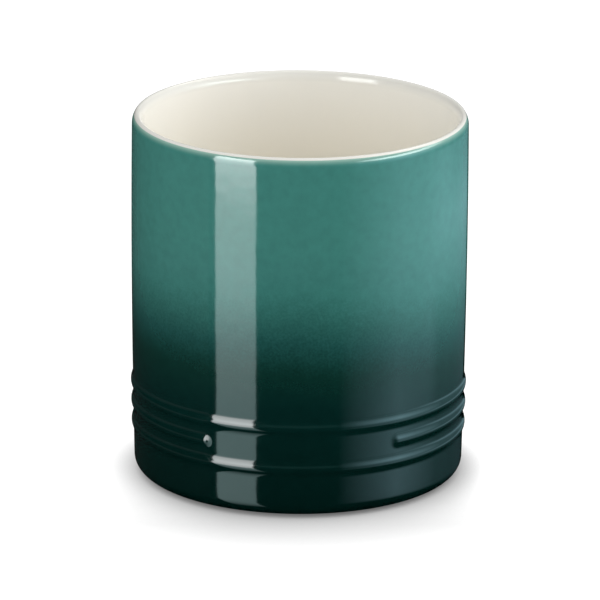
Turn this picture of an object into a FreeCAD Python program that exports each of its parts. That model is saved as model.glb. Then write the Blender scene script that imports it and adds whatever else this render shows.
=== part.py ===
import FreeCAD, Part
import math
import os
import Sketcher

# A utensil crock: one pressed stoneware body with three glaze coats fired onto it.
# The origin is on the table at the middle of the foot, +Z is up and the front is at -Y.
# The wall is one very long arc, a little narrower at the base than near the lip.
# Three raised rings run round its foot, and the middle one stops short at the front
# with rounded ends, which leaves a plain stretch of wall there.
# Every outline is drawn through named sizes, as (radius, height) on a half section.

SIZES = {
    "crock_height": 154.0,       # top of the glazed lip above the table
    "widest_radius": 70.0,       # outside of the glazed wall at its widest level
    "widest_height": 110.0,      # level of that widest place
    "wall_bow": 1.2,             # how much narrower the wall is where the base rounding starts
    "wall_thickness": 5.4,       # glazed wall at the floor
    "lip_thickness": 4.3,        # glazed wall where the lip starts to close in
    "lip_side_radius": 6.0,      # long curve on each face of the lip
    "lip_top_radius": 1.2,       # tight curve over the top of the lip
    "glaze_thickness": 0.5,      # each of the coats, outside, inside and under the base
    "glaze_line_share": 0.83,    # how far up the lip's outer curve the two glazes meet
    "base_rounding": 5.8,        # glazed corner between wall and underside
    "foot_lift": 0.6,            # underside of the glazed corner above the table
    "shelf_width": 2.6,          # flat between the base rounding and the foot
    "glaze_skirt": 0.8,          # how far the outer glaze runs in onto that flat
    "foot_width": 6.5,           # bare ring that the crock stands on
    "foot_edge_rounding": 0.5,   # both edges of that ring
    "recess_height": 3.2,        # clay ceiling of the hollow inside the foot
    "recess_rounding": 1.0,      # corner between that ceiling and the foot
    "floor_thickness": 4.8,      # clay between the hollow and the inside
    "floor_rounding": 9.0,       # glazed corner between the inside wall and floor
    "ring_height": 21.2,         # crest of the lowest ring above the table
    "ring_pitch": 8.8,           # from one crest to the next
    "ring_width": 8.2,           # ring with the hollow curves that lead into it
    "ring_proud": 0.85,          # crest beyond the wall
    "ring_hollow": 5.6,          # radius of those hollow curves
    "ring_seat": 0.15,           # how deep the ends of those curves lie under the wall's surface
    "ring_root": 1.0,            # how deep a ring's section reaches into the wall behind it
    "ring_gap_angle": 70.0,      # between the middle ring's rounded ends, at their centres, in degrees
    "coat_backing": 1.0,         # how deep the outer coat's blank reaches into the clay that is cut from it
}
RING_COUNT = 3
MIDDLE_RING = 1
FULL_TURN = 360.0
RIGHT_ANGLE = 90.0

# Places that follow from those sizes, as expressions of the sheet.
GLAZE = "dims.glaze_thickness"
NO_INSET = "0"
LIP_HALF = "(dims.lip_thickness / 2)"
LIP_REACH = "(dims.lip_side_radius - dims.lip_top_radius)"
SHOULDER_ANGLE = f"acos((dims.lip_side_radius - {LIP_HALF}) / {LIP_REACH})"
RIM_HEIGHT = f"(dims.crock_height - dims.lip_top_radius - {LIP_REACH} * sin({SHOULDER_ANGLE}))"
LINE_ANGLE = f"(dims.glaze_line_share * {SHOULDER_ANGLE})"
LINE_HEIGHT = f"({RIM_HEIGHT} + dims.lip_side_radius * sin({LINE_ANGLE}))"
BASE_RADIUS = "(dims.widest_radius - dims.wall_bow)"
BASE_HEIGHT = "(dims.foot_lift + dims.base_rounding)"
WALL_ARC = f"(((dims.widest_height - {BASE_HEIGHT}) ^ 2 + dims.wall_bow ^ 2) / (2 * dims.wall_bow))"
CORNER_RADIUS = f"({BASE_RADIUS} - dims.base_rounding)"
FOOT_OUTER = f"({CORNER_RADIUS} - dims.shelf_width)"
FOOT_INNER = f"({FOOT_OUTER} - dims.foot_width)"
RECESS_RADIUS = f"({FOOT_INNER} - dims.recess_rounding)"
CLAY_FLOOR = "(dims.recess_height + dims.floor_thickness)"
FLOOR_HEIGHT = f"({CLAY_FLOOR} + {GLAZE})"
FLOOR_RADIUS = f"({BASE_RADIUS} - dims.wall_thickness)"
RING_HALF = "(dims.ring_width / 2)"
RING_RISE = "(dims.ring_proud + dims.ring_seat)"
RING_CURVES = f"(({RING_HALF} ^ 2 + {RING_RISE} ^ 2) / (2 * {RING_RISE}))"
CREST_RADIUS = f"({RING_CURVES} - dims.ring_hollow)"
TURN_HALF = f"({RING_HALF} * {CREST_RADIUS} / {RING_CURVES})"
TURN_DROP = f"({RING_RISE} * {CREST_RADIUS} / {RING_CURVES})"


def wall_radius(height):
    """Outside of the glazed wall at a height: the long arc, centred at the widest level."""
    rise = f"({height} - dims.widest_height)"
    return f"(dims.widest_radius - {WALL_ARC} + sqrt({WALL_ARC} ^ 2 - {rise} ^ 2))"


def ring_level(index):
    """Height of a ring's crest, counted from the lowest ring."""
    return f"(dims.ring_height + {index} * dims.ring_pitch)"


RIM_RADIUS = wall_radius(RIM_HEIGHT)
MOUTH_RADIUS = f"({RIM_RADIUS} - dims.lip_thickness)"


def lip_shoulder(side, inset):
    """Where a face of the lip passes into the top curve, outside for +1 and inside for -1.

    inset is how far the surface lies under the glazed one.
    """
    top = f"(dims.lip_top_radius - {inset})"
    across = f"({RIM_RADIUS} - {LIP_HALF} + {side} * {top} * cos({SHOULDER_ANGLE}))"
    up = f"(dims.crock_height - dims.lip_top_radius + {top} * sin({SHOULDER_ANGLE}))"
    return across, up


def glaze_line(inset):
    """Radius where the lip's outer curve passes the level at which the two glazes meet."""
    curve = f"(dims.lip_side_radius - {inset})"
    rise = f"({LINE_HEIGHT} - {RIM_HEIGHT})"
    return f"({RIM_RADIUS} - dims.lip_side_radius + sqrt({curve} ^ 2 - {rise} ^ 2))"


def make_sheet(doc):
    """One row for each size: its name, and the number that the rest of the model follows."""
    sheet = doc.addObject("Spreadsheet::Sheet", "dims")
    for row, (name, value) in enumerate(SIZES.items(), start=1):
        sheet.set(f"A{row}", name)
        sheet.set(f"B{row}", str(value))
        sheet.setAlias(f"B{row}", name)
    doc.recompute()
    return sheet


def origin_feature(body, role):
    """One of a body's own origin planes or axes."""
    return next(item for item in body.Origin.OriginFeatures if item.Role == role)


def value_of(owner, expression):
    """Number that an expression gives now, zero where there is none."""
    if expression is None:
        return 0.0
    return float(owner.evalExpression(expression))


def arc_between(start, end, radius, turn):
    """Arc of under a half circle from start to end, turning left for +1 and right for -1."""
    chord = end - start
    middle = (start + end) / 2
    left = FreeCAD.Vector(-chord.y, chord.x, 0).normalize()
    inset = math.sqrt(max(radius ** 2 - (chord.Length / 2) ** 2, 0))
    centre = middle + left * (turn * inset)
    first, last = (start, end) if turn > 0 else (end, start)
    circle = Part.Circle(centre, FreeCAD.Vector(0, 0, 1), radius)
    return Part.ArcOfCircle(circle, circle.parameter(first), circle.parameter(last))


def new_sketch(body, role, name):
    """Empty sketch on one of the body's origin planes."""
    sketch = body.newObject("Sketcher::SketchObject", name)
    sketch.AttachmentSupport = [(origin_feature(body, role), "")]
    sketch.MapMode = "FlatFace"
    return sketch


def hold(sketch, kind, edge, end, expression, name):
    """Ties one coordinate of an edge's end to an expression, or to the axis for zero."""
    if expression is None:
        axis = -2 if kind == "DistanceX" else -1
        sketch.addConstraint(Sketcher.Constraint("PointOnObject", edge, end, axis))
        return
    number = value_of(sketch, expression)
    sketch.addConstraint(Sketcher.Constraint(kind, -1, 1, edge, end, number))
    sketch.renameConstraint(sketch.ConstraintCount - 1, name)
    sketch.setExpression(f"Constraints.{name}", expression)


def draw_outline(sketch, corners):
    """Closed outline through corners of (name, across, up, bend).

    across and up are expressions, None for zero. bend says how the outline leaves the corner:
    None for a straight run, or (radius, turn) for an arc that turns left for +1 and right for -1.
    """
    points = [FreeCAD.Vector(value_of(sketch, x), value_of(sketch, y), 0) for _, x, y, _ in corners]
    tails = []
    heads = []
    for here, start in enumerate(points):
        bend = corners[here][-1]
        end = points[(here + 1) % len(points)]
        if bend is None:
            edge = sketch.addGeometry(Part.LineSegment(start, end), False)
            forward = True
        else:
            radius, turn = bend
            edge = sketch.addGeometry(arc_between(start, end, value_of(sketch, radius), turn), False)
            forward = turn > 0
        tails.append((edge, 1 if forward else 2))
        heads.append((edge, 2 if forward else 1))
    for here, head in enumerate(heads):
        tail = tails[(here + 1) % len(tails)]
        sketch.addConstraint(Sketcher.Constraint("Coincident", *head, *tail))
    for (name, across, up, bend), (edge, end) in zip(corners, tails):
        hold(sketch, "DistanceX", edge, end, across, name + "_across")
        hold(sketch, "DistanceY", edge, end, up, name + "_up")
        if bend is not None:
            radius = bend[0]
            sketch.addConstraint(Sketcher.Constraint("Radius", edge, value_of(sketch, radius)))
            sketch.renameConstraint(sketch.ConstraintCount - 1, name + "_radius")
            sketch.setExpression(f"Constraints.{name}_radius", radius)
    return sketch


def turn_outline(body, sketch, name, axis="V_Axis", angle=None):
    """Revolves an outline about a sketch axis, all the way round or evenly to both sides of the sketch."""
    turned = body.newObject("PartDesign::Revolution", name)
    turned.Profile = sketch
    turned.ReferenceAxis = (sketch, [axis])
    turned.Angle = FULL_TURN
    if angle is not None:
        turned.Midplane = True
        turned.setExpression("Angle", angle)
    return turned


def ring_radii(level, inset):
    """Radii of a ring at a level: its crest, where the curves turn over, their feet, and its root."""
    surface = f"({wall_radius(level)} - {inset})"
    crest = f"({surface} + dims.ring_proud)"
    turn = f"({crest} - {TURN_DROP})"
    foot = f"({surface} - dims.ring_seat)"
    root = f"({surface} - dims.ring_root)"
    return crest, turn, foot, root


def add_ring(body, index, inset):
    """One raised ring on the wall: a round crest between two hollow curves, rooted in the wall.

    inset is how far the ring's wall lies under the glazed surface.
    The middle ring is turned about the back of the crock and leaves the gap at the front.
    """
    level = ring_level(index)
    crest, turn, foot, root = ring_radii(level, inset)
    stopped = index == MIDDLE_RING
    sketch = new_sketch(body, "YZ_Plane" if stopped else "XZ_Plane", f"{body.Name}_ring_{index}_outline")
    draw_outline(sketch, [
        ("lower_root", root, f"({level} - {RING_HALF})", None),
        ("lower_foot", foot, f"({level} - {RING_HALF})", ("dims.ring_hollow", -1)),
        ("lower_turn", turn, f"({level} - {TURN_HALF})", (CREST_RADIUS, 1)),
        ("upper_turn", turn, f"({level} + {TURN_HALF})", ("dims.ring_hollow", -1)),
        ("upper_foot", foot, f"({level} + {RING_HALF})", None),
        ("upper_root", root, f"({level} + {RING_HALF})", None),
    ])
    reach = f"{FULL_TURN} - dims.ring_gap_angle" if stopped else None
    turn_outline(body, sketch, f"{body.Name}_ring_{index}", angle=reach)
    if stopped:
        add_ring_ends(body, level, inset)


def add_ring_ends(body, level, inset):
    """Rounded ends of the stopped ring: half its section turned about a line out from the axis."""
    crest, turn, foot, root = ring_radii(level, inset)
    sketch = new_sketch(body, "XY_Plane", f"{body.Name}_ring_end_outline")
    upright = FreeCAD.Vector(0, 0, 1)
    sketch.AttachmentOffset = FreeCAD.Placement(FreeCAD.Vector(), FreeCAD.Rotation(upright, RIGHT_ANGLE))
    sketch.setExpression("AttachmentOffset.Base.z", level)
    sketch.setExpression("AttachmentOffset.Rotation.Angle", f"dims.ring_gap_angle / 2 - {RIGHT_ANGLE}")
    draw_outline(sketch, [
        ("root", root, None, None),
        ("crest", crest, None, (CREST_RADIUS, 1)),
        ("turn", turn, TURN_HALF, ("dims.ring_hollow", -1)),
        ("foot", foot, RING_HALF, None),
        ("rim", root, RING_HALF, None),
    ])
    end = turn_outline(body, sketch, f"{body.Name}_ring_end", axis="H_Axis")
    other = body.newObject("PartDesign::Mirrored", f"{body.Name}_other_ring_end")
    other.Originals = [end]
    other.MirrorPlane = (origin_feature(body, "YZ_Plane"), [""])
    body.Tip = other


def add_rings(body, inset):
    """All the rings, from the lowest up."""
    for index in range(RING_COUNT):
        add_ring(body, index, inset)


def make_stoneware(doc):
    """Fired clay in one piece: foot ring, floor, bowed wall, rounded lip and the raised rings."""
    body = doc.addObject("PartDesign::Body", "stoneware_body")
    sketch = new_sketch(body, "XZ_Plane", "stoneware_outline")
    edge = "dims.foot_edge_rounding"
    shelf = f"(dims.foot_lift + {GLAZE})"
    clay_side = f"(dims.lip_side_radius - {GLAZE})"
    clay_top = f"(dims.lip_top_radius - {GLAZE})"
    clay_corner = f"(dims.base_rounding - {GLAZE})"
    clay_inside = f"(dims.floor_rounding + {GLAZE})"
    inside_foot = f"({FLOOR_HEIGHT} + dims.floor_rounding)"
    draw_outline(sketch, [
        ("recess_middle", None, "dims.recess_height", None),
        ("recess_edge", RECESS_RADIUS, "dims.recess_height", ("dims.recess_rounding", -1)),
        ("foot_inside", FOOT_INNER, "(dims.recess_height - dims.recess_rounding)", None),
        ("foot_inner_edge", FOOT_INNER, edge, (edge, 1)),
        ("foot_inner_sole", f"({FOOT_INNER} + {edge})", None, None),
        ("foot_outer_sole", f"({FOOT_OUTER} - {edge})", None, (edge, 1)),
        ("foot_outer_edge", FOOT_OUTER, edge, None),
        ("shelf_root", FOOT_OUTER, shelf, None),
        ("shelf_end", CORNER_RADIUS, shelf, (clay_corner, 1)),
        ("wall_foot", f"({BASE_RADIUS} - {GLAZE})", BASE_HEIGHT, (WALL_ARC, 1)),
        ("wall_head", f"({RIM_RADIUS} - {GLAZE})", RIM_HEIGHT, (clay_side, 1)),
        ("outer_shoulder", *lip_shoulder(1, GLAZE), (clay_top, 1)),
        ("inner_shoulder", *lip_shoulder(-1, GLAZE), (clay_side, 1)),
        ("mouth", f"({MOUTH_RADIUS} + {GLAZE})", RIM_HEIGHT, None),
        ("inside_foot", f"({FLOOR_RADIUS} + {GLAZE})", inside_foot, (clay_inside, -1)),
        ("floor_edge", f"({FLOOR_RADIUS} - dims.floor_rounding)", CLAY_FLOOR, None),
        ("floor_middle", None, CLAY_FLOOR, None),
    ])
    turn_outline(body, sketch, "stoneware_turned")
    add_rings(body, GLAZE)
    return body


def make_outer_glaze(doc, clay):
    """Outer coat: a blank out to the glazed surface, less the clay, so that it follows every ring."""
    blank = doc.addObject("PartDesign::Body", "outer_coat_blank")
    sketch = new_sketch(blank, "XZ_Plane", "outer_coat_outline")
    backing = f"({BASE_RADIUS} - {GLAZE} - dims.coat_backing)"
    skirt = f"({CORNER_RADIUS} - dims.glaze_skirt)"
    draw_outline(sketch, [
        ("skirt_end", skirt, "dims.foot_lift", None),
        ("corner_end", CORNER_RADIUS, "dims.foot_lift", ("dims.base_rounding", 1)),
        ("wall_foot", BASE_RADIUS, BASE_HEIGHT, (WALL_ARC, 1)),
        ("wall_head", RIM_RADIUS, RIM_HEIGHT, ("dims.lip_side_radius", 1)),
        ("glaze_line", glaze_line(NO_INSET), LINE_HEIGHT, None),
        ("backing_top", backing, LINE_HEIGHT, None),
        ("backing_foot", backing, BASE_HEIGHT, None),
        ("skirt_back", skirt, BASE_HEIGHT, None),
    ])
    turn_outline(blank, sketch, "outer_coat_turned")
    add_rings(blank, NO_INSET)
    coat = doc.addObject("Part::Cut", "outer_glaze")
    coat.Base = blank
    coat.Tool = clay
    return coat


def make_liner_glaze(doc):
    """Inner coat: over the floor, up the inside and over the lip to where it meets the outer coat."""
    body = doc.addObject("PartDesign::Body", "liner_glaze")
    sketch = new_sketch(body, "XZ_Plane", "liner_outline")
    clay_side = f"(dims.lip_side_radius - {GLAZE})"
    clay_top = f"(dims.lip_top_radius - {GLAZE})"
    inside_foot = f"({FLOOR_HEIGHT} + dims.floor_rounding)"
    floor_edge = f"({FLOOR_RADIUS} - dims.floor_rounding)"
    clay_inside = f"(dims.floor_rounding + {GLAZE})"
    draw_outline(sketch, [
        ("clay_line", glaze_line(GLAZE), LINE_HEIGHT, None),
        ("glaze_line", glaze_line(NO_INSET), LINE_HEIGHT, ("dims.lip_side_radius", 1)),
        ("outer_shoulder", *lip_shoulder(1, NO_INSET), ("dims.lip_top_radius", 1)),
        ("inner_shoulder", *lip_shoulder(-1, NO_INSET), ("dims.lip_side_radius", 1)),
        ("mouth", MOUTH_RADIUS, RIM_HEIGHT, None),
        ("inside_foot", FLOOR_RADIUS, inside_foot, ("dims.floor_rounding", -1)),
        ("floor_edge", floor_edge, FLOOR_HEIGHT, None),
        ("floor_middle", None, FLOOR_HEIGHT, None),
        ("clay_middle", None, CLAY_FLOOR, None),
        ("clay_floor_edge", floor_edge, CLAY_FLOOR, (clay_inside, 1)),
        ("clay_inside_foot", f"({FLOOR_RADIUS} + {GLAZE})", inside_foot, None),
        ("clay_mouth", f"({MOUTH_RADIUS} + {GLAZE})", RIM_HEIGHT, (clay_side, -1)),
        ("clay_inner_shoulder", *lip_shoulder(-1, GLAZE), (clay_top, -1)),
        ("clay_outer_shoulder", *lip_shoulder(1, GLAZE), (clay_side, -1)),
    ])
    turn_outline(body, sketch, "liner_turned")
    return body


def make_base_glaze(doc):
    """Coat on the ceiling of the hollow under the base, with a rounded edge short of the foot."""
    body = doc.addObject("PartDesign::Body", "base_glaze")
    sketch = new_sketch(body, "XZ_Plane", "base_coat_outline")
    under = f"(dims.recess_height - {GLAZE})"
    draw_outline(sketch, [
        ("under_middle", None, under, None),
        ("under_edge", f"({RECESS_RADIUS} - {GLAZE})", under, (GLAZE, 1)),
        ("ceiling_edge", RECESS_RADIUS, "dims.recess_height", None),
        ("ceiling_middle", None, "dims.recess_height", None),
    ])
    turn_outline(body, sketch, "base_coat_turned")
    return body


def check(doc, parts):
    """Stops if any object failed to compute, or if a piece isn't one sound solid."""
    for item in doc.Objects:
        if {"Invalid", "Error"} & set(item.State):
            raise RuntimeError(f"{item.Name} failed: {item.State}")
    for part in parts:
        shape = part.Shape
        if shape.isNull() or not shape.isValid() or len(shape.Solids) != 1:
            raise RuntimeError(f"{part.Label} isn't one sound solid")
        box = shape.BoundBox
        print(part.Label, f"{shape.Volume:.1f} mm3", f"x {box.XLength:.2f} y {box.YLength:.2f}",
              f"z {box.ZMin:.2f} to {box.ZMax:.2f}", f"{len(shape.Faces)} faces")


def main():
    doc = FreeCAD.newDocument("utensil_crock")
    make_sheet(doc)
    clay = make_stoneware(doc)
    parts = [clay, make_outer_glaze(doc, clay), make_liner_glaze(doc), make_base_glaze(doc)]
    doc.recompute()
    for part in parts:
        part.Label = part.Name
        part.Placement = FreeCAD.Placement()
    doc.recompute()
    check(doc, parts)
    os.makedirs("parts", exist_ok=True)
    for part in parts:
        part.Shape.exportStep(f"parts/{part.Label}.step")


main()
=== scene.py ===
# %% [markdown]
# # A utensil crock in glazed stoneware
#
# The crock is one pressed piece of clay with glass melted onto it in three coats: a green one outside that
# fades to nearly black, a cream one inside and over the lip, and a dark one under the base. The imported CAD
# model gives the frame, in metres, with the front of the crock at -Y. This lesson draws the clay and each
# coat again as a fine surface of revolution, gives it a finish made of nodes, and sets it in a small studio.

# %% Load the frame
import math

import bpy
import numpy as np
from mathutils import Matrix, Vector


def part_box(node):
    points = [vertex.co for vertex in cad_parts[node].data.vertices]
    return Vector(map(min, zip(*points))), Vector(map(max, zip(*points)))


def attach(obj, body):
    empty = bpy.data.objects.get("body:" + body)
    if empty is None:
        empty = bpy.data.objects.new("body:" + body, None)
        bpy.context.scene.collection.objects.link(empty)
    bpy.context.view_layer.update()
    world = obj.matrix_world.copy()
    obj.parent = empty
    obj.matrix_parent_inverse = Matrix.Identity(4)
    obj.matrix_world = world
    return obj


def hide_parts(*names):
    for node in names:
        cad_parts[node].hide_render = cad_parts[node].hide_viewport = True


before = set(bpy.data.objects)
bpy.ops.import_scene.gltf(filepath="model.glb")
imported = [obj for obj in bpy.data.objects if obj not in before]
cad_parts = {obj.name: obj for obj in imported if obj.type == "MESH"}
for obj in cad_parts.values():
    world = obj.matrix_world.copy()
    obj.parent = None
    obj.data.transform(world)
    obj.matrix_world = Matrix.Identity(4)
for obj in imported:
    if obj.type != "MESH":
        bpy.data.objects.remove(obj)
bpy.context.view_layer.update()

# %% [markdown]
# ## Sizes
#
# A potter's drawing of a crock is a half section: radii and heights. The main heights come from the frame,
# and the rest are the sizes that the CAD sections were drawn with, so that each coat lies where its solid
# lies. Only the line where green meets cream is drawn about 0.3 mm higher on the lip here.

# %% Sizes of the crock, in metres
MM = 0.001
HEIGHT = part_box("liner_glaze")[1][2]     # top of the lip
FOOT_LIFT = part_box("outer_glaze")[0][2]  # underside of the outer coat, above the table
WIDEST_RADIUS = 70.0 * MM
WIDEST_HEIGHT = 110.0 * MM
WALL_BOW = 1.2 * MM          # how much narrower the wall is where the base rounding starts
WALL = 5.4 * MM              # glazed wall at the floor
LIP = 4.3 * MM               # glazed wall where the lip starts to close in
LIP_SIDE = 6.0 * MM          # long curve on each face of the lip
LIP_TOP = 1.2 * MM           # tight curve over the top of the lip
LINE_SHARE = 0.91            # how far up the lip's outer curve the two glazes meet
COAT = 0.5 * MM              # thickness of each glaze
BASE_ROUNDING = 5.8 * MM     # corner between wall and underside
SHELF = 2.6 * MM             # flat between that corner and the foot
SKIRT = 0.8 * MM             # how far the outer coat runs in onto that flat
FOOT_WIDTH = 6.5 * MM        # bare ring that the crock stands on
FOOT_EDGE = 0.5 * MM         # rounding of both its edges
RECESS_HEIGHT = 3.2 * MM     # clay ceiling of the hollow inside the foot
RECESS_ROUNDING = 1.0 * MM
FLOOR_THICKNESS = 4.8 * MM   # clay between the hollow and the inside
FLOOR_ROUNDING = 9.0 * MM    # corner between the inside wall and floor

BASE_RADIUS = WIDEST_RADIUS - WALL_BOW
BASE_HEIGHT = FOOT_LIFT + BASE_ROUNDING
WALL_ARC = ((WIDEST_HEIGHT - BASE_HEIGHT) ** 2 + WALL_BOW ** 2) / (2 * WALL_BOW)
CORNER_RADIUS = BASE_RADIUS - BASE_ROUNDING
FOOT_OUTER = CORNER_RADIUS - SHELF
FOOT_INNER = FOOT_OUTER - FOOT_WIDTH
RECESS_RADIUS = FOOT_INNER - RECESS_ROUNDING
CLAY_FLOOR = RECESS_HEIGHT + FLOOR_THICKNESS
INSIDE_RADIUS = BASE_RADIUS - WALL
# Turn of the lip's side curve, in degrees, up to the shoulder, where the top curve takes over.
SHOULDER = math.degrees(math.acos((LIP_SIDE - LIP / 2) / (LIP_SIDE - LIP_TOP)))
RIM_HEIGHT = HEIGHT - LIP_TOP - (LIP_SIDE - LIP_TOP) * math.sin(math.radians(SHOULDER))
LINE_TURN = LINE_SHARE * SHOULDER
LINE_HEIGHT = RIM_HEIGHT + LIP_SIDE * math.sin(math.radians(LINE_TURN))


def wall_radius(height):
    """Outside of the wall at a height.

    It is widest radius - arc + root of (arc squared - distance from the widest level squared).
    """
    return WIDEST_RADIUS - WALL_ARC + np.sqrt(WALL_ARC ** 2 - (height - WIDEST_HEIGHT) ** 2)


RIM_RADIUS = float(wall_radius(RIM_HEIGHT))
print(f"crock {HEIGHT / MM:.1f} mm high, radius at the lip {RIM_RADIUS / MM:.2f} mm,",
      f"glazes meet at {LINE_HEIGHT / MM:.2f} mm")

# %% [markdown]
# ## The raised rings
#
# Three rings were pressed into the clay near the foot. They could be separate hoops laid on the wall, but on
# the real crock they swell out of it in one curve. So they are a height added to the wall: a round crest, and
# a hollow curve on each side that runs out into the wall, within 0.1 mm of the CAD ring. The middle ring
# stops at the front. Past its end the distance is measured to the end point instead of to the line, and that
# alone rounds the end.

# %% Height of the rings above the wall
RING_COUNT = 3
RING_HEIGHT = 21.2 * MM      # crest of the lowest ring above the table
RING_PITCH = 8.8 * MM        # from one crest to the next
RING_PROUD = 0.85 * MM       # crest beyond the wall
RING_CREST = 3.2 * MM        # radius of the crest
RING_HOLLOW = 6.0 * MM       # radius of the hollow curves
STOPPED_RING = 1             # the middle one, counted from 0
RING_END = math.radians(35.0)  # turn from the front at which it stops
RING_LEVELS = RING_HEIGHT + RING_PITCH * np.arange(RING_COUNT)
RING_CURVES = RING_CREST + RING_HOLLOW
RING_REACH = math.sqrt(RING_CURVES ** 2 - (RING_CURVES - RING_PROUD) ** 2)
RING_TURN = RING_REACH * RING_CREST / RING_CURVES


def bead(distance):
    """Height over the wall at a distance from a ring's line.

    Up to the turning place it is proud - crest + root of (crest squared - distance squared), from there to
    the reach it is hollow - root of (hollow squared - distance left squared), and beyond that nothing.
    """
    left = np.clip(RING_REACH - distance, 0, RING_HOLLOW)
    crest = RING_PROUD - RING_CREST + np.sqrt(np.clip(RING_CREST ** 2 - distance ** 2, 0, None))
    hollow = RING_HOLLOW - np.sqrt(RING_HOLLOW ** 2 - left ** 2)
    return np.where(distance < RING_TURN, crest, hollow)


def ring_relief(turn, height):
    """Sum of the beads: distance up or down to each ring, and along the wall past the stopped ring's end."""
    total = 0
    for index, level in enumerate(RING_LEVELS):
        past_end = np.clip(RING_END - np.abs(turn), 0, None) * WIDEST_RADIUS * (index == STOPPED_RING)
        total = total + bead(np.hypot(height - level, past_end))
    return total


print(f"each ring is {2 * RING_REACH / MM:.2f} mm wide and turns over at {RING_TURN / MM:.2f} mm")

# %% [markdown]
# ## Turning a section
#
# Every piece here is turned. A Screw modifier would do that too, but the stopped ring needs a radius that
# changes round the crock, so numpy makes the whole grid at once: rows go along the section, columns go
# round. Sections run up the outside and down the inside, which makes all faces point outwards. A section that
# starts and ends on the axis is closed there by one point with a fan of triangles.

# %% Grid of a turned piece
TURN_STEP = math.radians(0.95)
END_STEP = math.radians(0.4)
END_SPAN = math.radians(7.0)
SHARP_EDGE = math.radians(40.0)
BAND_SHARE = 1.1             # finely divided band beyond the outer rings' lines, in reaches of a ring
FINE_ROWS = (4, 92, 27)      # rows of the wall below, over and above that band
COARSE_ROWS = (2, 36, 8)


def turn_angles():
    """Angles from the front, in even steps that are smaller where the stopped ring ends."""
    low, high = RING_END - END_SPAN, RING_END + END_SPAN
    spans = [(-math.pi, -high, TURN_STEP), (-high, -low, END_STEP), (-low, low, TURN_STEP),
             (low, high, END_STEP), (high, math.pi, TURN_STEP)]
    return np.concatenate([np.linspace(a, b, round((b - a) / step), endpoint=False) for a, b, step in spans])


def arc(centre, radius, start, end, steps):
    """Points centre + radius x (cos a, sin a), for angles a spaced evenly from start to end, in degrees."""
    angle = np.radians(np.linspace(start, end, steps))
    return np.stack([centre[0] + radius * np.cos(angle), centre[1] + radius * np.sin(angle)], axis=1)


def wall_points(inset, rows):
    """Points (wall radius - inset, level) up the wall, with most of the levels where the rings are."""
    low = RING_LEVELS[0] - BAND_SHARE * RING_REACH
    high = RING_LEVELS[-1] + BAND_SHARE * RING_REACH
    levels = np.concatenate([np.linspace(BASE_HEIGHT, low, rows[0], endpoint=False),
                             np.linspace(low, high, rows[1], endpoint=False),
                             np.linspace(high, RIM_HEIGHT, rows[2])])
    return np.stack([wall_radius(levels) - inset, levels], axis=1)


def turned_piece(name, section, turns):
    """Mesh of a section turned about the axis.

    A point at (radius, height) and turn t goes to (radius sin t, -radius cos t, height), after the rings'
    relief is added to the radius of points in the outer half of the wall.
    """
    radius, height = section[:, :1], section[:, 1:]
    on_wall = radius > wall_radius(height) - WALL / 2
    radius = radius + np.where(on_wall, ring_relief(turns[None], height), 0)
    height = height + 0 * radius
    points = np.stack([radius * np.sin(turns), -radius * np.cos(turns), height], axis=2)
    closed_on_axis = section[0, 0] == 0
    if closed_on_axis:
        points = points[1:-1]
    rows, columns = points.shape[:2]
    here = np.arange(rows - 1 if closed_on_axis else rows)[:, None]
    above = (here + 1) % rows
    side = np.arange(columns)
    beside = (side + 1) % columns
    corners = [here * columns + side, here * columns + beside,
               above * columns + beside, above * columns + side]
    faces = np.stack(corners, axis=2).reshape(-1, 4).tolist()
    points = points.reshape(-1, 3)
    if closed_on_axis:
        first = len(points)
        last_row = (rows - 1) * columns
        faces += np.stack([side * 0 + first, beside, side], axis=1).tolist()
        faces += np.stack([last_row + side, last_row + beside, side * 0 + first + 1], axis=1).tolist()
        poles = [[0, 0, section[0, 1]], [0, 0, section[-1, 1]]]
        points = np.concatenate([points, poles])
    mesh = bpy.data.meshes.new(name)
    mesh.from_pydata(points.tolist(), [], faces)
    mesh.shade_smooth()
    mesh.set_sharp_from_angle(angle=SHARP_EDGE)
    piece = bpy.data.objects.new(name, mesh)
    bpy.context.collection.objects.link(piece)
    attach(piece, "root")
    triangles = sum(len(face) - 2 for face in faces)
    print(f"{name}: {rows} rows, {columns} columns, {triangles} triangles")
    return piece


print("directions round the crock with the finer steps:", len(turn_angles()))

# %% [markdown]
# ## The outer coat
#
# The green coat starts under the base rounding, climbs the wall over the rings and stops on the outside of
# the lip, where the cream begins. It is a closed shell half a millimetre thick: one face that shows and one
# that lies on the clay. A Solidify modifier could thicken the first into a shell, but a face of its own lets
# the hidden side do with fewer rows.

# %% Outer coat
lip_centre = (RIM_RADIUS - LIP_SIDE, RIM_HEIGHT)
corner_centre = (CORNER_RADIUS, BASE_HEIGHT)
outer_face = np.concatenate([
    [[CORNER_RADIUS - SKIRT, FOOT_LIFT]],
    arc(corner_centre, BASE_ROUNDING, -90, 0, 15)[:-1],
    wall_points(0, FINE_ROWS),
    arc(lip_centre, LIP_SIDE, 0, LINE_TURN, 9)[1:],
])
clay_face = np.concatenate([
    [[CORNER_RADIUS - SKIRT, FOOT_LIFT + COAT]],
    arc(corner_centre, BASE_ROUNDING - COAT, -90, 0, 7)[:-1],
    wall_points(COAT, COARSE_ROWS),
    arc(lip_centre, LIP_SIDE - COAT, 0, LINE_TURN, 5)[1:],
])
outer_coat = turned_piece("green_coat", np.concatenate([outer_face, clay_face[::-1]]), turn_angles())
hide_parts("outer_glaze")

# %% [markdown]
# ## The cream liner
#
# Cream glaze was poured in and out, so it covers the floor, the inside wall and the lip as far as the green.
# It could be a colour painted on the clay, but a coat of its own keeps a crisp line at the lip. One section,
# drawn once at the surface and once inset by the coat's thickness, gives both of its faces.

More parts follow.
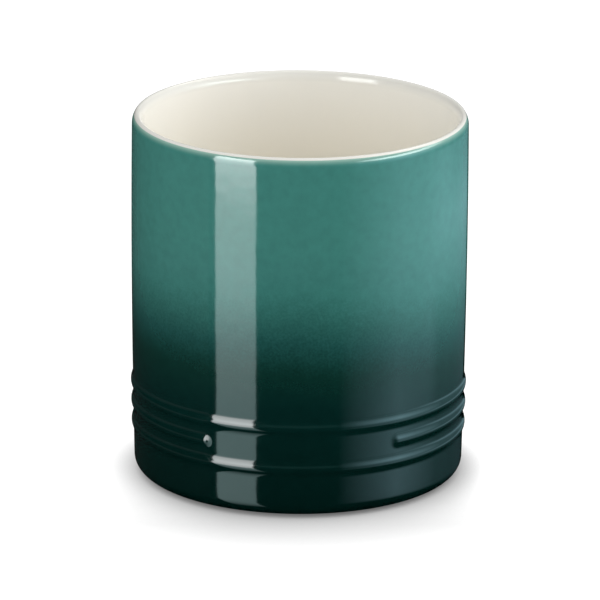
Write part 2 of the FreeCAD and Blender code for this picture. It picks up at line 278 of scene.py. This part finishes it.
# %% Liner
ROUND_STEP = math.radians(1.2)
even_turns = np.linspace(-math.pi, math.pi, round(2 * math.pi / ROUND_STEP), endpoint=False)
top_centre = (RIM_RADIUS - LIP / 2, HEIGHT - LIP_TOP)
mouth_centre = (RIM_RADIUS - LIP + LIP_SIDE, RIM_HEIGHT)
floor_centre = (INSIDE_RADIUS - FLOOR_ROUNDING, CLAY_FLOOR + COAT + FLOOR_ROUNDING)
LINE_TO_SHOULDER = 4         # points on the curve from the glaze line to the shoulder


def liner_face(inset):
    """Section from the glaze line over the lip, down the inside and along the floor to the axis."""
    floor = CLAY_FLOOR + COAT - inset
    mouth = (RIM_RADIUS - LIP + inset, RIM_HEIGHT)
    foot = (INSIDE_RADIUS + inset, floor_centre[1])
    return np.concatenate([
        arc(lip_centre, LIP_SIDE - inset, LINE_TURN, SHOULDER, LINE_TO_SHOULDER)[:-1],
        arc(top_centre, LIP_TOP - inset, SHOULDER, 180 - SHOULDER, 15)[:-1],
        arc(mouth_centre, LIP_SIDE - inset, 180 - SHOULDER, 180, 10)[:-1],
        np.linspace(mouth, foot, 24)[:-1],
        arc(floor_centre, FLOOR_ROUNDING + inset, 0, -90, 16)[:-1],
        np.linspace((floor_centre[0], floor), (0, floor), 12),
    ])


liner_section = np.concatenate([liner_face(COAT)[::-1], liner_face(0)])
liner_coat = turned_piece("cream_coat", liner_section, even_turns)
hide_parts("liner_glaze")

# %% [markdown]
# ## The clay and the coat under the base
#
# Of the clay only the foot ring shows, where the glaze was wiped off so that the crock would not stick to the
# kiln shelf. A ring would do for the picture, but the section goes all the way round, so that the coats have
# something to lie on. The coat under the base is a thin disc with a rounded edge, on the ceiling of the
# hollow.

# %% Clay body
clay_turns = turn_angles()[::2]
clay_section = np.concatenate([
    np.linspace((0, RECESS_HEIGHT), (RECESS_RADIUS, RECESS_HEIGHT), 8)[:-1],
    arc((RECESS_RADIUS, RECESS_HEIGHT - RECESS_ROUNDING), RECESS_ROUNDING, 90, 0, 7),
    arc((FOOT_INNER + FOOT_EDGE, FOOT_EDGE), FOOT_EDGE, 180, 270, 5),
    arc((FOOT_OUTER - FOOT_EDGE, FOOT_EDGE), FOOT_EDGE, 270, 360, 5),
    [[FOOT_OUTER, FOOT_LIFT + COAT]],
    arc(corner_centre, BASE_ROUNDING - COAT, -90, 0, 7)[:-1],
    wall_points(COAT, COARSE_ROWS)[:-1],
    arc(lip_centre, LIP_SIDE - COAT, 0, SHOULDER, 6)[:-1],
    liner_face(COAT)[LINE_TO_SHOULDER - 1:],
])
clay_body = turned_piece("clay_body", clay_section, clay_turns)
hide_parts("stoneware_body")

# %% Coat under the base
base_section = np.concatenate([
    np.linspace((0, RECESS_HEIGHT - COAT), (RECESS_RADIUS - COAT, RECESS_HEIGHT - COAT), 10)[:-1],
    arc((RECESS_RADIUS - COAT, RECESS_HEIGHT), COAT, -90, 0, 6),
    np.linspace((RECESS_RADIUS, RECESS_HEIGHT), (0, RECESS_HEIGHT), 6)[1:],
])
base_coat = turned_piece("base_coat", base_section, even_turns)
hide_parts("base_glaze")

# %% [markdown]
# ## Tools for materials
#
# Colours are written as sRGB hex values, as a colour picker shows them, and shaders want linear light. One
# helper turns the first into the second, and one adds a node with its settings and links. A Mix node has
# sockets for every kind of value, and the numbers here are those of its colours.

# %% Colour and node helpers
MIX_A = 6
MIX_B = 7
MIX_RESULT = 2
NOISE_LOW = 0.3              # most of a noise lies between these two
NOISE_HIGH = 0.7
GLAZE_IOR = 1.5


def linear(text):
    """RGBA of a hex colour in linear light.

    A dark channel is value / 12.92, and any other is ((value + 0.055) / 1.055) to the power of 2.4.
    """
    values = np.array([int(text[i:i + 2], 16) for i in (1, 3, 5)]) / 255
    light = np.where(values <= 0.04045, values / 12.92, ((values + 0.055) / 1.055) ** 2.4)
    return (*light.tolist(), 1.0)


def add_node(tree, kind, inputs=None, **settings):
    """Adds a node. Settings go to its properties; each input is a link if it is a socket, else a value."""
    node = tree.nodes.new(kind)
    for name, value in settings.items():
        setattr(node, name, value)
    for socket, value in (inputs or {}).items():
        if isinstance(value, bpy.types.NodeSocket):
            tree.links.new(value, node.inputs[socket])
        else:
            node.inputs[socket].default_value = value
    return node


def new_material(name):
    """Empty node material, and the Object coordinates that its patterns are laid out on."""
    material = bpy.data.materials.new(name)
    material.use_nodes = True
    tree = material.node_tree
    tree.nodes.clear()
    place = add_node(tree, "ShaderNodeTexCoord").outputs["Object"]
    return material, tree, place


def per_metre(millimetres):
    """Scale of a pattern, 1 / size in metres, whose lumps are about that many millimetres across."""
    return 1 / (millimetres * MM)


print("top green in linear light", [round(v, 4) for v in linear("#3A766E")])

# %% [markdown]
# ## Green reactive glaze
#
# The coat is lead-free stoneware glaze, sprayed in two colours and fired glossy. A nearly black green was
# sprayed over the lower half of a mid green. A painted picture could be wrapped round the crock for that, but
# the fade is simply a colour that depends on height, so a colour ramp does it. The dark spray reaches less
# high towards the sides, a slow wobble keeps it from being a ruled line, and its droplets make it grainy.
# Real droplets are finer than 0.9 mm, and are drawn that coarse so that they show. Where the coat thins
# towards the cream it turns pale. Fired glass is never quite flat: lumps some millimetres across bend the
# reflections.

# %% Fade of the green glaze
FADE = [(8, "#021916"), (23.5, "#031C19"), (48, "#04211E"), (54, "#062521"), (63.7, "#0A2C26"),
        (68.9, "#103732"), (76.2, "#1A4743"), (84.3, "#265852"), (97, "#346D66"), (106, "#38716A"),
        (120, "#3A756D"), (154, "#3A766E")]
RIGHT_SLOPE = 0.14           # how the fade drops towards each side, in metres for each metre
LEFT_SLOPE = -0.045
WOBBLE = 1.0 * MM            # how far the slow noise and the droplets shift it up and down
GRAIN = 2.5 * MM
green_glaze, tree, place = new_material("green_ombre_stoneware_glaze")
parts = add_node(tree, "ShaderNodeSeparateXYZ", {"Vector": place})
height = parts.outputs["Z"]
sideways = parts.outputs["X"]
slow = add_node(tree, "ShaderNodeTexNoise", {"Vector": place, "Scale": per_metre(38), "Detail": 1.0})
drops = add_node(tree, "ShaderNodeTexNoise", {"Vector": place, "Scale": per_metre(0.9), "Detail": 2.0})
wobble = add_node(tree, "ShaderNodeMapRange", {"Value": slow.outputs["Fac"], "From Min": NOISE_LOW,
                                               "From Max": NOISE_HIGH, "To Min": -WOBBLE, "To Max": WOBBLE})
grain = add_node(tree, "ShaderNodeMapRange", {"Value": drops.outputs["Fac"], "From Min": NOISE_LOW,
                                              "From Max": NOISE_HIGH, "To Min": -GRAIN, "To Max": GRAIN})
right_dip = add_node(tree, "ShaderNodeMath", {0: sideways, 1: RIGHT_SLOPE, 2: height},
                     operation="MULTIPLY_ADD")
left_dip = add_node(tree, "ShaderNodeMath", {0: sideways, 1: LEFT_SLOPE, 2: height},
                    operation="MULTIPLY_ADD")
shifted = add_node(tree, "ShaderNodeMath", {0: right_dip.outputs["Value"], 1: left_dip.outputs["Value"]},
                   operation="MAXIMUM")
for drift in (wobble, grain):
    shifted = add_node(tree, "ShaderNodeMath", {0: shifted.outputs["Value"], 1: drift.outputs["Result"]},
                       operation="ADD")
share = add_node(tree, "ShaderNodeMath", {0: shifted.outputs["Value"], 1: HEIGHT}, operation="DIVIDE")
fade = add_node(tree, "ShaderNodeValToRGB", {"Fac": share.outputs["Value"]})
stops = fade.color_ramp.elements
for level_mm, _ in FADE[1:-1]:
    stops.new(level_mm * MM / HEIGHT)
for stop, (level_mm, colour) in zip(stops, FADE):
    stop.position = level_mm * MM / HEIGHT
    stop.color = linear(colour)
print("fade of", len(stops), "colours")

# %% Body and gloss of the green glaze
THIN_BAND = 2.6 * MM         # pale band below the line where the glazes meet
cloud = add_node(tree, "ShaderNodeTexNoise", {"Vector": place, "Scale": per_metre(4.0), "Detail": 3.0})
depth = add_node(tree, "ShaderNodeMapRange", {"Value": cloud.outputs["Fac"], "From Min": NOISE_LOW,
                                              "From Max": NOISE_HIGH, "To Min": 0.94, "To Max": 1.06})
mottled = add_node(tree, "ShaderNodeVectorMath", {0: fade.outputs["Color"], "Scale": depth.outputs["Result"]},
                   operation="SCALE")
thin = add_node(tree, "ShaderNodeMapRange", {"Value": height, "From Min": LINE_HEIGHT - THIN_BAND,
                                             "From Max": LINE_HEIGHT})
thin = add_node(tree, "ShaderNodeMath", {0: thin.outputs["Result"], 1: 2.0}, operation="POWER")
body_colour = add_node(tree, "ShaderNodeMix", {0: thin.outputs["Value"], MIX_A: mottled.outputs["Vector"],
                                               MIX_B: linear("#8FAFA3")}, data_type="RGBA")
peel = add_node(tree, "ShaderNodeTexNoise", {"Vector": place, "Scale": per_metre(7.0), "Detail": 1.0})
pits = add_node(tree, "ShaderNodeTexNoise", {"Vector": place, "Scale": per_metre(1.6), "Detail": 1.0})
peel_bump = add_node(tree, "ShaderNodeBump", {"Height": peel.outputs["Fac"], "Distance": 0.03 * MM})
pit_bump = add_node(tree, "ShaderNodeBump", {"Height": pits.outputs["Fac"], "Distance": 0.002 * MM,
                                             "Normal": peel_bump.outputs["Normal"]})
gloss = add_node(tree, "ShaderNodeMapRange", {"Value": cloud.outputs["Fac"], "To Min": 0.05, "To Max": 0.10})
surface = add_node(tree, "ShaderNodeBsdfPrincipled", {"Base Color": body_colour.outputs[MIX_RESULT],
                                                      "Roughness": gloss.outputs["Result"], "IOR": GLAZE_IOR,
                                                      "Normal": pit_bump.outputs["Normal"]})
add_node(tree, "ShaderNodeOutputMaterial", {"Surface": surface.outputs["BSDF"]})
outer_coat.data.materials.append(green_glaze)
print("green glaze nodes", len(tree.nodes))

# %% [markdown]
# ## Cream glaze
#
# The liner is an opaque white glaze over buff clay, so it looks like cream: glossy and almost even.
# Its colour is painted lighter and warmer lower down, as painted light that lifts the shade deep inside and
# adds warmth to the light that bounces about there. Over the lip it is painted greyer, as painted shade on a
# top that the lamps light more than the real one. Its shine is weaker than the green coat's, so its specular
# level is lower.

# %% Cream glaze
WARM_EDGE_SPREAD = 16 * MM         # how unevenly the warm tone ends
WARM_BELOW = HEIGHT - 40 * MM
PALE_ABOVE = HEIGHT + 4 * MM
LIP_SHADE_START = HEIGHT - 4.5 * MM
LIP_SHADE_FULL = HEIGHT - 1.2 * MM
cream_glaze, tree, place = new_material("cream_stoneware_glaze")
patchy = add_node(tree, "ShaderNodeTexNoise", {"Vector": place, "Scale": per_metre(25), "Detail": 2.0})
height = add_node(tree, "ShaderNodeSeparateXYZ", {"Vector": place}).outputs["Z"]
# Painted light: lower down the cream is lighter and warmer, which lifts the shade deep inside the crock.
run = add_node(tree, "ShaderNodeMath", {0: patchy.outputs["Fac"], 1: WARM_EDGE_SPREAD, 2: height},
               operation="MULTIPLY_ADD")
amount = add_node(tree, "ShaderNodeMapRange", {"Value": run.outputs["Value"], "From Min": WARM_BELOW,
                                               "From Max": PALE_ABOVE})
painted_depth_colour = add_node(tree, "ShaderNodeMix", {0: amount.outputs["Result"], MIX_A: linear("#EBE6D9"),
                                               MIX_B: linear("#E4E2DB")}, data_type="RGBA")
# Painted shade: the top of the lip is painted greyer, because the lamps light it more than the real one.
edge = add_node(tree, "ShaderNodeMapRange", {"Value": height, "From Min": LIP_SHADE_START,
                                             "From Max": LIP_SHADE_FULL})
body_colour = add_node(tree, "ShaderNodeMix", {0: edge.outputs["Result"],
                                               MIX_A: painted_depth_colour.outputs[MIX_RESULT],
                                               MIX_B: linear("#D1D0CA")}, data_type="RGBA")
peel = add_node(tree, "ShaderNodeTexNoise", {"Vector": place, "Scale": per_metre(8.0), "Detail": 1.0})
peel_bump = add_node(tree, "ShaderNodeBump", {"Height": peel.outputs["Fac"], "Distance": 0.03 * MM})
gloss = add_node(tree, "ShaderNodeMapRange", {"Value": patchy.outputs["Fac"], "To Min": 0.08, "To Max": 0.16})
surface = add_node(tree, "ShaderNodeBsdfPrincipled", {"Base Color": body_colour.outputs[MIX_RESULT],
                                                      "Roughness": gloss.outputs["Result"], "IOR": GLAZE_IOR,
                                                      "Specular IOR Level": 0.3,
                                                      "Normal": peel_bump.outputs["Normal"]})
add_node(tree, "ShaderNodeOutputMaterial", {"Surface": surface.outputs["BSDF"]})
liner_coat.data.materials.append(cream_glaze)
print("cream glaze nodes", len(tree.nodes))

# %% [markdown]
# ## Bare stoneware and the dark coat under the base
#
# The foot ring is fired clay, buff and matte, with grit and a few iron specks. The hollow inside it has a
# thin wash of the same nearly black green as the foot of the wall, with paler patches where it ran thin.

# %% Bare clay
bare_clay, tree, place = new_material("bare_fired_stoneware")
grit = add_node(tree, "ShaderNodeTexNoise", {"Vector": place, "Scale": per_metre(0.8), "Detail": 3.0})
specks = add_node(tree, "ShaderNodeTexVoronoi", {"Vector": place, "Scale": per_metre(2.2)})
tone = add_node(tree, "ShaderNodeMapRange", {"Value": grit.outputs["Fac"], "From Min": NOISE_LOW,
                                             "From Max": NOISE_HIGH})
clay_colour = add_node(tree, "ShaderNodeMix", {0: tone.outputs["Result"], MIX_A: linear("#C9B79B"),
                                               MIX_B: linear("#DCCDB4")}, data_type="RGBA")
iron = add_node(tree, "ShaderNodeMapRange", {"Value": specks.outputs["Distance"], "From Min": 0.10,
                                             "From Max": 0.18, "To Min": 0.7, "To Max": 0.0})
body_colour = add_node(tree, "ShaderNodeMix", {0: iron.outputs["Result"],
                                               MIX_A: clay_colour.outputs[MIX_RESULT],
                                               MIX_B: linear("#6B4A30")}, data_type="RGBA")
grit_bump = add_node(tree, "ShaderNodeBump", {"Height": grit.outputs["Fac"], "Distance": 0.12 * MM})
surface = add_node(tree, "ShaderNodeBsdfPrincipled", {"Base Color": body_colour.outputs[MIX_RESULT],
                                                      "Roughness": 0.85,
                                                      "Normal": grit_bump.outputs["Normal"]})
add_node(tree, "ShaderNodeOutputMaterial", {"Surface": surface.outputs["BSDF"]})
clay_body.data.materials.append(bare_clay)
print("bare clay nodes", len(tree.nodes))

# %% Dark coat
dark_glaze, tree, place = new_material("dark_green_base_wash")
runs = add_node(tree, "ShaderNodeTexNoise", {"Vector": place, "Scale": per_metre(12), "Detail": 4.0})
tone = add_node(tree, "ShaderNodeMapRange", {"Value": runs.outputs["Fac"], "From Min": 0.35,
                                             "From Max": 0.75})
body_colour = add_node(tree, "ShaderNodeMix", {0: tone.outputs["Result"], MIX_A: linear("#021815"),
                                               MIX_B: linear("#0D302B")}, data_type="RGBA")
ripple = add_node(tree, "ShaderNodeBump", {"Height": runs.outputs["Fac"], "Distance": 0.06 * MM})
gloss = add_node(tree, "ShaderNodeMapRange", {"Value": runs.outputs["Fac"], "To Min": 0.12, "To Max": 0.30})
surface = add_node(tree, "ShaderNodeBsdfPrincipled", {"Base Color": body_colour.outputs[MIX_RESULT],
                                                      "Roughness": gloss.outputs["Result"], "IOR": GLAZE_IOR,
                                                      "Normal": ripple.outputs["Normal"]})
add_node(tree, "ShaderNodeOutputMaterial", {"Surface": surface.outputs["BSDF"]})
base_coat.data.materials.append(dark_glaze)
print("dark coat nodes", len(tree.nodes))

# %% [markdown]
# ## The studio
#
# A glossy dark pot is mostly what it mirrors. Photographers put it in a black tent and let in only the lights
# they want to see. Here the tent and the light panels are seen by glossy rays alone, so they shape the
# reflections and leave the plain, soft light on the colours to the world and three large lamps. The panels
# are parts of a drum about the crock, and how bright each one is goes by height and by direction. A tall
# strip stands on the left. On the right are a broad softbox for the wall and the rings, one above it for the
# top of the lip, and a bright band close by that draws the line under the lip. The left wall is a faint grey,
# and a dim card in front draws the thin lines on the rings there.

# %% Black tent
TENT_RADIUS = 6.0
TENT_GRID = (25, 49)         # rows and columns of points


def stage_surface(name, points, material, glossy_only=True):
    """Sheet through a grid of points, with a face between each four neighbours, seen by glossy rays alone
    unless glossy_only is off.
    """
    rows, columns = points.shape[:2]
    first = (np.arange(rows - 1)[:, None] * columns + np.arange(columns - 1)).ravel()
    faces = np.stack([first, first + 1, first + columns + 1, first + columns], axis=1)
    mesh = bpy.data.meshes.new(name)
    mesh.from_pydata(points.reshape(-1, 3).tolist(), [], faces.tolist())
    mesh.materials.append(material)
    sheet = bpy.data.objects.new(name, mesh)
    bpy.context.collection.objects.link(sheet)
    if glossy_only:
        sheet.visible_camera = False
        sheet.visible_diffuse = False
        sheet.visible_transmission = False
        sheet.visible_volume_scatter = False
        sheet.visible_shadow = False
    return sheet


velvet, tree, _ = new_material("black_velvet")
cloth = add_node(tree, "ShaderNodeBsdfDiffuse", {"Color": linear("#000000")})
add_node(tree, "ShaderNodeOutputMaterial", {"Surface": cloth.outputs["BSDF"]})
pitch = np.linspace(-math.pi / 2, math.pi / 2, TENT_GRID[0])[:, None]
yaw = np.linspace(0, 2 * math.pi, TENT_GRID[1])
ball = [np.cos(pitch) * np.cos(yaw), np.cos(pitch) * np.sin(yaw), np.sin(pitch) + 0 * yaw]
stage_surface("black_tent", TENT_RADIUS * np.stack(ball, axis=2), velvet)
print("tent", 2 * TENT_RADIUS, "m across")

# %% Light panels
VIEW_TURN = -1.3             # direction of the camera from the front, in degrees
PANEL_GRID = (200, 60)       # rows and columns of points
TINT_LEVELS = [-0.3, -0.1]   # a panel's tint changes between these, in metres


def light_panel(name, tints, directions, levels, glow_rows, distance=1.0, lean=0.0):
    """Piece of a drum about the crock: (distance sin t, -distance cos t, level).

    Directions are in degrees from the camera's side, and levels in metres. The glow is a table with a row
    for each level and a column for each direction, and between them it runs straight. The tint runs from the
    first colour well under the table to the last one just under it. A lean turns the panel by so many
    degrees for each metre of level.
    """
    rows, columns = PANEL_GRID
    level = np.linspace(levels[0], levels[-1], rows)
    turn = np.linspace(directions[0], directions[-1], columns)
    glow_at_levels = np.array([np.interp(turn, directions, row) for row in glow_rows])
    glow = np.array([np.interp(level, levels, column) for column in glow_at_levels.T]).T
    share = np.interp(level, TINT_LEVELS, [0, 1])[:, None]
    tint = (1 - share) * linear(tints[0]) + share * linear(tints[-1])
    round_turn = np.radians(turn + VIEW_TURN + lean * level[:, None])
    points = np.stack([distance * np.sin(round_turn), -distance * np.cos(round_turn),
                       level[:, None] + 0 * round_turn], axis=2)
    material, tree, _ = new_material(name + "_diffuser")
    colour = add_node(tree, "ShaderNodeAttribute", attribute_name="glow")
    light = add_node(tree, "ShaderNodeEmission", {"Color": colour.outputs["Color"]})
    add_node(tree, "ShaderNodeOutputMaterial", {"Surface": light.outputs["Emission"]})
    panel = stage_surface(name, points, material)
    light_values = glow[:, :, None] * tint[:, None, :]
    panel.data.attributes.new("glow", "FLOAT_COLOR", "POINT").data.foreach_set("color", light_values.ravel())
    print(f"{name}: {turn[0]:.0f} to {turn[-1]:.0f} degrees, brightest {glow.max():.1f}")


def soft_edged(row):
    """Glow at four levels of a panel that is even in the middle and fades out at its bottom and top."""
    dark = [0] * len(row)
    return [dark, row, row, dark]


STRIP_LEVELS = [-1.3, -0.5, -0.305, -0.232, -0.2134, -0.1785, -0.135, -0.115, -0.105, 0.35, 0.6, 0.78]
STRIP_GLOW = [0.0, 2.0, 2.5, 3.1, 3.9, 4.6, 4.5, 7.1, 7.9, 11.0, 15.0, 15.0]
light_panel("left_strip", ["#DAFFFF", "#FAFFFF"], [-57.6, -29.0], STRIP_LEVELS,
            [[glow, glow] for glow in STRIP_GLOW], lean=-2.5)
light_panel("right_softbox", ["#BFF0FF"], [27, 71, 98, 110, 130, 160],
            [-0.62, -0.32, -0.23, -0.165, -0.13, -0.05, 0.3, 0.55, 0.65],
            [[0, 0.00, 0.00, 0.00, 0.00, 0.00],
             [0, 1.60, 0.60, 0.28, 0.14, 0.05],
             [0, 1.10, 1.10, 0.55, 0.33, 0.18],
             [0, 1.75, 1.75, 1.75, 1.05, 0.45],
             [0, 1.55, 1.55, 1.50, 0.65, 0.25],
             [0, 1.30, 0.90, 0.60, 0.38, 0.15],
             [0, 4.00, 1.80, 0.70, 0.30, 0.10],
             [0, 4.00, 1.80, 0.70, 0.30, 0.10],
             [0, 0.00, 0.00, 0.00, 0.00, 0.00]])
light_panel("top_softbox", ["#FFFAF2"], [40, 80, 150, 175], [0.9, 1.0, 1.5, 1.6],
            soft_edged([0, 3.5, 3.5, 0]))
light_panel("right_band", ["#EBFFFF"], [31, 41, 51, 73, 90, 104], [0.189, 0.198, 0.225, 0.234],
            soft_edged([0, 8, 14, 12, 5, 0]), distance=0.22)
light_panel("front_card", ["#A8FFF8"], [-29, -22, 24, 40], [0.26, 0.36, 0.85, 0.95],
            soft_edged([0, 0.17, 0.17, 0]))
light_panel("left_wall", ["#F0FFFF"], [-165, -120, -95, -62], [-0.9, -0.25, -0.2, -0.12, 0.05],
            [[0.00, 0.00, 0.00, 0.00],
             [0.02, 0.02, 0.02, 0.03],
             [0.03, 0.05, 0.12, 0.16],
             [0.03, 0.05, 0.12, 0.16],
             [0.01, 0.01, 0.02, 0.02]])

# %% [markdown]
# ## Floor, world and lamps
#
# The crock stands on white paper. The eye of the camera sees a greyer paper with a glow of its own that
# brings it to white. The glow goes by how much open sky the paper has within a short reach, so it dies away
# in the narrow space round the foot, and the reach is longest in front, where the shadow is widest. On the
# left, in the shade of the right lamp, it dies away more slowly. Other rays see pale paper that throws light
# back at the wall. The world fills evenly. Of three large lamps, the one on the right is the strongest.

# %% Floor
FLOOR_HALF = 30.0            # metres from the middle to each edge
SHADOW_FRONT = 75 * MM       # how far in front of the axis the reach is longest
SHADOW_CURVE = 2.7           # how late the reach grows towards there
SIDE_REACH = 12 * MM
FRONT_REACH = 40 * MM        # what the front adds to the reach at the sides
SHADOW_POWER = 1.9           # how fast the glow dies away
LEFT_POWER = 1.25            # the same from the left edge outwards
LEFT_EDGE = -70 * MM
LEFT_INNER = -30 * MM
LEAST_GLOW = 0.13
FULL_GLOW = 0.92
SKY_SAMPLES = 16


def seen_rays(tree):
    """1 for rays from the camera, off gloss or through glass, which see the background, and else 0."""
    rays = add_node(tree, "ShaderNodeLightPath")
    seen = rays.outputs["Is Camera Ray"]
    for ray in ("Is Glossy Ray", "Is Transmission Ray"):
        either = add_node(tree, "ShaderNodeMath", {0: seen, 1: rays.outputs[ray]}, operation="MAXIMUM")
        seen = either.outputs["Value"]
    return seen


white_paper, tree, place = new_material("white_paper")
seen = seen_rays(tree)
spot = add_node(tree, "ShaderNodeSeparateXYZ", {"Vector": place})
to_front = add_node(tree, "ShaderNodeMapRange", {"Value": spot.outputs["Y"], "From Min": 0.0,
                                                 "From Max": -SHADOW_FRONT})
to_front = add_node(tree, "ShaderNodeMath", {0: to_front.outputs["Result"], 1: SHADOW_CURVE},
                    operation="POWER")
reach = add_node(tree, "ShaderNodeMath", {0: to_front.outputs["Value"], 1: FRONT_REACH, 2: SIDE_REACH},
                 operation="MULTIPLY_ADD")
power = add_node(tree, "ShaderNodeMapRange", {"Value": spot.outputs["X"], "From Min": LEFT_EDGE,
                                              "From Max": LEFT_INNER, "To Min": LEFT_POWER,
                                              "To Max": SHADOW_POWER})
open_sky = add_node(tree, "ShaderNodeAmbientOcclusion", {"Distance": reach.outputs["Value"]},
                    samples=SKY_SAMPLES)
own_glow = add_node(tree, "ShaderNodeMath", {0: open_sky.outputs["AO"], 1: power.outputs["Result"]},
                    operation="POWER")
own_glow = add_node(tree, "ShaderNodeMapRange", {"Value": own_glow.outputs["Value"], "To Min": LEAST_GLOW,
                                                 "To Max": FULL_GLOW})
own_glow = add_node(tree, "ShaderNodeMath", {0: own_glow.outputs["Result"], 1: seen}, operation="MULTIPLY")
paper_colour = add_node(tree, "ShaderNodeMix", {0: seen, MIX_A: linear("#B6B6B6"), MIX_B: linear("#7C7C7C")},
                        data_type="RGBA")
paper = add_node(tree, "ShaderNodeBsdfDiffuse", {"Color": paper_colour.outputs[MIX_RESULT]})
glow = add_node(tree, "ShaderNodeEmission", {"Strength": own_glow.outputs["Value"]})
both = add_node(tree, "ShaderNodeAddShader", {0: paper.outputs["BSDF"], 1: glow.outputs["Emission"]})
add_node(tree, "ShaderNodeOutputMaterial", {"Surface": both.outputs["Shader"]})
floor_x, floor_y = np.meshgrid([-FLOOR_HALF, 0, FLOOR_HALF], [-FLOOR_HALF, 0, FLOOR_HALF])
floor_points = np.stack([floor_x, floor_y, 0 * floor_x], axis=2)
floor = stage_surface("paper_floor", floor_points, white_paper, glossy_only=False)
floor.visible_glossy = False
print("white paper nodes", len(tree.nodes))

# %% World and lamps
FILL = 0.90                  # light from the world on every surface, where 1 is white
world = bpy.data.worlds.new("white_studio")
bpy.context.scene.world = world
world.use_nodes = True
tree = world.node_tree
tree.nodes.clear()
level = add_node(tree, "ShaderNodeMath", {0: seen_rays(tree), 1: 1 - FILL, 2: FILL}, operation="MULTIPLY_ADD")
sky = add_node(tree, "ShaderNodeBackground", {"Color": linear("#FFFFFF"), "Strength": level.outputs["Value"]})
add_node(tree, "ShaderNodeOutputWorld", {"Surface": sky.outputs["Background"]})


def outward(turn, tilt):
    """Direction (cos tilt sin turn, -cos tilt cos turn, sin tilt), with both angles in degrees."""
    turn, tilt = math.radians(turn), math.radians(tilt)
    return Vector((math.cos(tilt) * math.sin(turn), -math.cos(tilt) * math.cos(turn), math.sin(tilt)))


def looking_back(away):
    """Rotation of a lamp or camera that stands in a direction and faces the other way."""
    return away.to_track_quat("Z", "Y").to_matrix().to_4x4()


def soft_lamp(name, turn, tilt, distance, size, watts):
    """Square lamp at the crock's middle + distance x outward, facing it and unseen in reflections."""
    away = outward(turn, tilt)
    lamp = bpy.data.lights.new(name, "AREA")
    lamp.shape = "SQUARE"
    lamp.size = size
    lamp.energy = watts
    holder = bpy.data.objects.new(name, lamp)
    middle = Vector((0, 0, HEIGHT / 2))
    holder.matrix_world = Matrix.Translation(middle + distance * away) @ looking_back(away)
    holder.visible_glossy = False
    bpy.context.collection.objects.link(holder)


soft_lamp("left_lamp", turn=-50, tilt=12, distance=1.5, size=1.2, watts=6.0)
soft_lamp("right_lamp", turn=97, tilt=32, distance=1.4, size=1.4, watts=17.0)
soft_lamp("front_lamp", turn=0, tilt=15, distance=1.5, size=1.2, watts=3.6)

# %% [markdown]
# ## Camera
#
# A long lens stands far back and a little above the crock, as in a catalogue picture. Its place was found
# from the ellipse of the rim, the ellipse of the foot and the heights of the rings.

# %% Camera
AIM = Vector((0.4 * MM, 0, 72.94 * MM))
VIEW_DISTANCE = 2.591
VIEW_TILT = 17.297
VIEW_ROLL = math.radians(0.426)
lens = bpy.data.cameras.new("catalogue_camera")
lens.sensor_width = 36.0
lens.lens = 372.0
lens.clip_end = 100.0
camera = bpy.data.objects.new("catalogue_camera", lens)
away = outward(VIEW_TURN, VIEW_TILT)
facing = looking_back(away) @ Matrix.Rotation(VIEW_ROLL, 4, "Z")
camera.matrix_world = Matrix.Translation(AIM + VIEW_DISTANCE * away) @ facing
bpy.context.collection.objects.link(camera)
bpy.context.scene.camera = camera
bpy.context.scene.view_settings.view_transform = "Standard"
print("camera at", [round(v, 3) for v in camera.matrix_world.translation])
